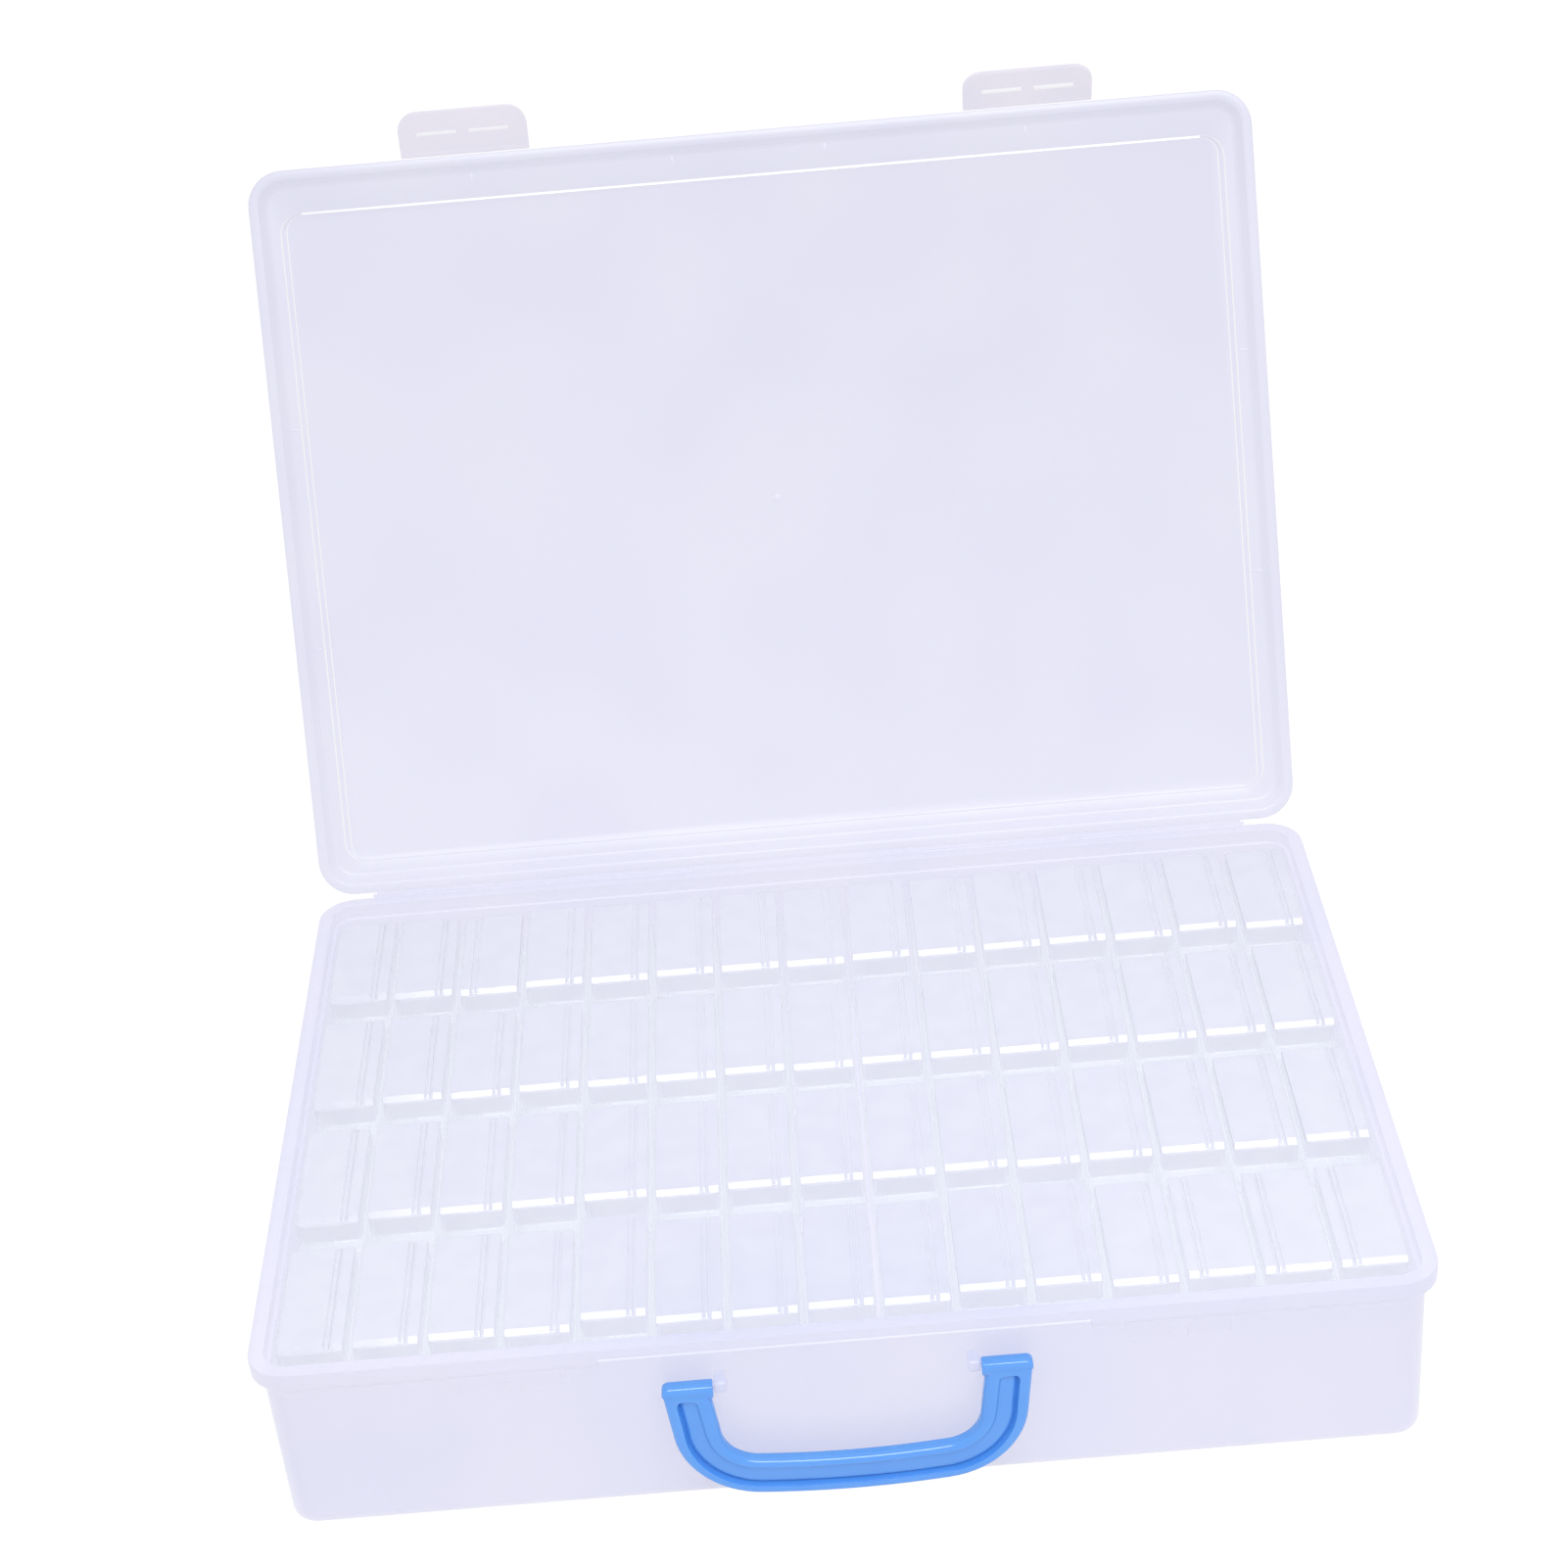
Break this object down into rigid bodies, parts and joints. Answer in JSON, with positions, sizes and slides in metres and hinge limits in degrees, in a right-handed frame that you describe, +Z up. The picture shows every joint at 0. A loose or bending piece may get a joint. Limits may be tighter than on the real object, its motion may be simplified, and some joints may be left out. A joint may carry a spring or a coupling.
{
  "type": "bead storage box",
  "caption": "Clear plastic bead storage box with an open lid, flip-top bottles in rows inside and a blue swing handle on the front.",
  "frame": {"origin": "centre of the case's underside", "axes": "+Z up, -Y towards the front wall with the handle, +X to the right seen from the front"},
  "size_m": [0.34, 0.3552, 0.3115],
  "materials": {
    "clear_case": "translucent moulded polypropylene",
    "blue_handle": "satin moulded polypropylene",
    "clear_bottle": "clear moulded polystyrene",
    "frosted_cap": "clear moulded polypropylene"
  },
  "bodies": {
    "case": {"case_base": "clear_case", "hinge_strip_left": "clear_case", "hinge_strip_right": "clear_case"},
    "lid": {"lid": "clear_case"},
    "latch_left": {"latch_tab_left": "clear_case"},
    "latch_right": {"latch_tab_right": "clear_case"},
    "handle": {"carry_handle": "blue_handle"},
    "column_01": {"bottles_column_01": "clear_bottle", "bottle_caps_column_01": "frosted_cap"},
    "flaps_01": {"flip_tops_column_01": "frosted_cap"},
    "column_02": {"bottles_column_02": "clear_bottle", "bottle_caps_column_02": "frosted_cap"},
    "flaps_02": {"flip_tops_column_02": "frosted_cap"},
    "column_03": {"bottles_column_03": "clear_bottle", "bottle_caps_column_03": "frosted_cap"},
    "flaps_03": {"flip_tops_column_03": "frosted_cap"},
    "flap_reversed_03": {"flip_top_reversed_03": "frosted_cap"},
    "column_04": {"bottles_column_04": "clear_bottle", "bottle_caps_column_04": "frosted_cap"},
    "flaps_04": {"flip_tops_column_04": "frosted_cap"},
    "column_05": {"bottles_column_05": "clear_bottle", "bottle_caps_column_05": "frosted_cap"},
    "flaps_05": {"flip_tops_column_05": "frosted_cap"},
    "column_06": {"bottles_column_06": "clear_bottle", "bottle_caps_column_06": "frosted_cap"},
    "flaps_06": {"flip_tops_column_06": "frosted_cap"},
    "column_07": {"bottles_column_07": "clear_bottle", "bottle_caps_column_07": "frosted_cap"},
    "flaps_07": {"flip_tops_column_07": "frosted_cap"},
    "column_08": {"bottles_column_08": "clear_bottle", "bottle_caps_column_08": "frosted_cap"},
    "flaps_08": {"flip_tops_column_08": "frosted_cap"},
    "column_09": {"bottles_column_09": "clear_bottle", "bottle_caps_column_09": "frosted_cap"},
    "flaps_09": {"flip_tops_column_09": "frosted_cap"},
    "column_10": {"bottles_column_10": "clear_bottle", "bottle_caps_column_10": "frosted_cap"},
    "flaps_10": {"flip_tops_column_10": "frosted_cap"},
    "column_11": {"bottles_column_11": "clear_bottle", "bottle_caps_column_11": "frosted_cap"},
    "flaps_11": {"flip_tops_column_11": "frosted_cap"},
    "column_12": {"bottles_column_12": "clear_bottle", "bottle_caps_column_12": "frosted_cap"},
    "flaps_12": {"flip_tops_column_12": "frosted_cap"},
    "column_13": {"bottles_column_13": "clear_bottle", "bottle_caps_column_13": "frosted_cap"},
    "flaps_13": {"flip_tops_column_13": "frosted_cap"},
    "flap_reversed_13": {"flip_top_reversed_13": "frosted_cap"},
    "column_14": {"bottles_column_14": "clear_bottle", "bottle_caps_column_14": "frosted_cap"},
    "flaps_14": {"flip_tops_column_14": "frosted_cap"},
    "flap_reversed_14": {"flip_top_reversed_14": "frosted_cap"},
    "column_15": {"bottles_column_15": "clear_bottle", "bottle_caps_column_15": "frosted_cap"},
    "flaps_15": {"flip_tops_column_15": "frosted_cap"},
    "flap_reversed_15": {"flip_top_reversed_15": "frosted_cap"}
  },
  "joints": [
    {"name": "lid_hinge", "type": "hinge", "parent": "case", "child": "lid", "pos_m": [0, 0.1254, 0.06215], "axis": [-1, 0, 0], "range_deg": [-112.35, 0]},
    {"name": "latch_left_fold", "type": "hinge", "parent": "lid", "child": "latch_left", "pos_m": [-0.095, 0.22137, 0.29386], "axis": [-1, 0, 0], "range_deg": [-67, 55]},
    {"name": "latch_right_fold", "type": "hinge", "parent": "lid", "child": "latch_right", "pos_m": [0.095, 0.22137, 0.29386], "axis": [-1, 0, 0], "range_deg": [-43, 79]},
    {"name": "handle_swing", "type": "hinge", "parent": "case", "child": "handle", "pos_m": [0, -0.126, 0.0474], "axis": [-1, 0, 0], "range_deg": [0, 160]},
    {"name": "lift_01", "type": "slide", "parent": "case", "child": "column_01", "axis": [0, 0, 1], "range_m": [0, 0.065]},
    {"name": "flap_01", "type": "hinge", "parent": "column_01", "child": "flaps_01", "pos_m": [-0.14739, 0, 0.0612], "axis": [0, 1, 0], "range_deg": [0, 95]},
    {"name": "lift_02", "type": "slide", "parent": "case", "child": "column_02", "axis": [0, 0, 1], "range_m": [0, 0.065]},
    {"name": "flap_02", "type": "hinge", "parent": "column_02", "child": "flaps_02", "pos_m": [-0.12562, 0, 0.0612], "axis": [0, 1, 0], "range_deg": [0, 95]},
    {"name": "lift_03", "type": "slide", "parent": "case", "child": "column_03", "axis": [0, 0, 1], "range_m": [0, 0.065]},
    {"name": "flap_03", "type": "hinge", "parent": "column_03", "child": "flaps_03", "pos_m": [-0.10385, 0, 0.0612], "axis": [0, 1, 0], "range_deg": [0, 95]},
    {"name": "flap_reversed_03", "type": "hinge", "parent": "column_03", "child": "flap_reversed_03", "pos_m": [-0.11385, 0, 0.0612], "axis": [0, -1, 0], "range_deg": [0, 95]},
    {"name": "lift_04", "type": "slide", "parent": "case", "child": "column_04", "axis": [0, 0, 1], "range_m": [0, 0.065]},
    {"name": "flap_04", "type": "hinge", "parent": "column_04", "child": "flaps_04", "pos_m": [-0.08208, 0, 0.0612], "axis": [0, 1, 0], "range_deg": [0, 95]},
    {"name": "lift_05", "type": "slide", "parent": "case", "child": "column_05", "axis": [0, 0, 1], "range_m": [0, 0.065]},
    {"name": "flap_05", "type": "hinge", "parent": "column_05", "child": "flaps_05", "pos_m": [-0.06031, 0, 0.0612], "axis": [0, 1, 0], "range_deg": [0, 95]},
    {"name": "lift_06", "type": "slide", "parent": "case", "child": "column_06", "axis": [0, 0, 1], "range_m": [0, 0.065]},
    {"name": "flap_06", "type": "hinge", "parent": "column_06", "child": "flaps_06", "pos_m": [-0.03854, 0, 0.0612], "axis": [0, 1, 0], "range_deg": [0, 95]},
    {"name": "lift_07", "type": "slide", "parent": "case", "child": "column_07", "axis": [0, 0, 1], "range_m": [0, 0.065]},
    {"name": "flap_07", "type": "hinge", "parent": "column_07", "child": "flaps_07", "pos_m": [-0.01677, 0, 0.0612], "axis": [0, 1, 0], "range_deg": [0, 95]},
    {"name": "lift_08", "type": "slide", "parent": "case", "child": "column_08", "axis": [0, 0, 1], "range_m": [0, 0.065]},
    {"name": "flap_08", "type": "hinge", "parent": "column_08", "child": "flaps_08", "pos_m": [0.005, 0, 0.0612], "axis": [0, 1, 0], "range_deg": [0, 95]},
    {"name": "lift_09", "type": "slide", "parent": "case", "child": "column_09", "axis": [0, 0, 1], "range_m": [0, 0.065]},
    {"name": "flap_09", "type": "hinge", "parent": "column_09", "child": "flaps_09", "pos_m": [0.02677, 0, 0.0612], "axis": [0, 1, 0], "range_deg": [0, 95]},
    {"name": "lift_10", "type": "slide", "parent": "case", "child": "column_10", "axis": [0, 0, 1], "range_m": [0, 0.065]},
    {"name": "flap_10", "type": "hinge", "parent": "column_10", "child": "flaps_10", "pos_m": [0.04854, 0, 0.0612], "axis": [0, 1, 0], "range_deg": [0, 95]},
    {"name": "lift_11", "type": "slide", "parent": "case", "child": "column_11", "axis": [0, 0, 1], "range_m": [0, 0.065]},
    {"name": "flap_11", "type": "hinge", "parent": "column_11", "child": "flaps_11", "pos_m": [0.07031, 0, 0.0612], "axis": [0, 1, 0], "range_deg": [0, 95]},
    {"name": "lift_12", "type": "slide", "parent": "case", "child": "column_12", "axis": [0, 0, 1], "range_m": [0, 0.065]},
    {"name": "flap_12", "type": "hinge", "parent": "column_12", "child": "flaps_12", "pos_m": [0.09208, 0, 0.0612], "axis": [0, 1, 0], "range_deg": [0, 95]},
    {"name": "lift_13", "type": "slide", "parent": "case", "child": "column_13", "axis": [0, 0, 1], "range_m": [0, 0.065]},
    {"name": "flap_13", "type": "hinge", "parent": "column_13", "child": "flaps_13", "pos_m": [0.11385, 0, 0.0612], "axis": [0, 1, 0], "range_deg": [0, 95]},
    {"name": "flap_reversed_13", "type": "hinge", "parent": "column_13", "child": "flap_reversed_13", "pos_m": [0.10385, 0, 0.0612], "axis": [0, -1, 0], "range_deg": [0, 95]},
    {"name": "lift_14", "type": "slide", "parent": "case", "child": "column_14", "axis": [0, 0, 1], "range_m": [0, 0.065]},
    {"name": "flap_14", "type": "hinge", "parent": "column_14", "child": "flaps_14", "pos_m": [0.13562, 0, 0.0612], "axis": [0, 1, 0], "range_deg": [0, 95]},
    {"name": "flap_reversed_14", "type": "hinge", "parent": "column_14", "child": "flap_reversed_14", "pos_m": [0.12562, 0, 0.0612], "axis": [0, -1, 0], "range_deg": [0, 95]},
    {"name": "lift_15", "type": "slide", "parent": "case", "child": "column_15", "axis": [0, 0, 1], "range_m": [0, 0.065]},
    {"name": "flap_15", "type": "hinge", "parent": "column_15", "child": "flaps_15", "pos_m": [0.15739, 0, 0.0612], "axis": [0, 1, 0], "range_deg": [0, 95]},
    {"name": "flap_reversed_15", "type": "hinge", "parent": "column_15", "child": "flap_reversed_15", "pos_m": [0.14739, 0, 0.0612], "axis": [0, -1, 0], "range_deg": [0, 95]}
  ]
}
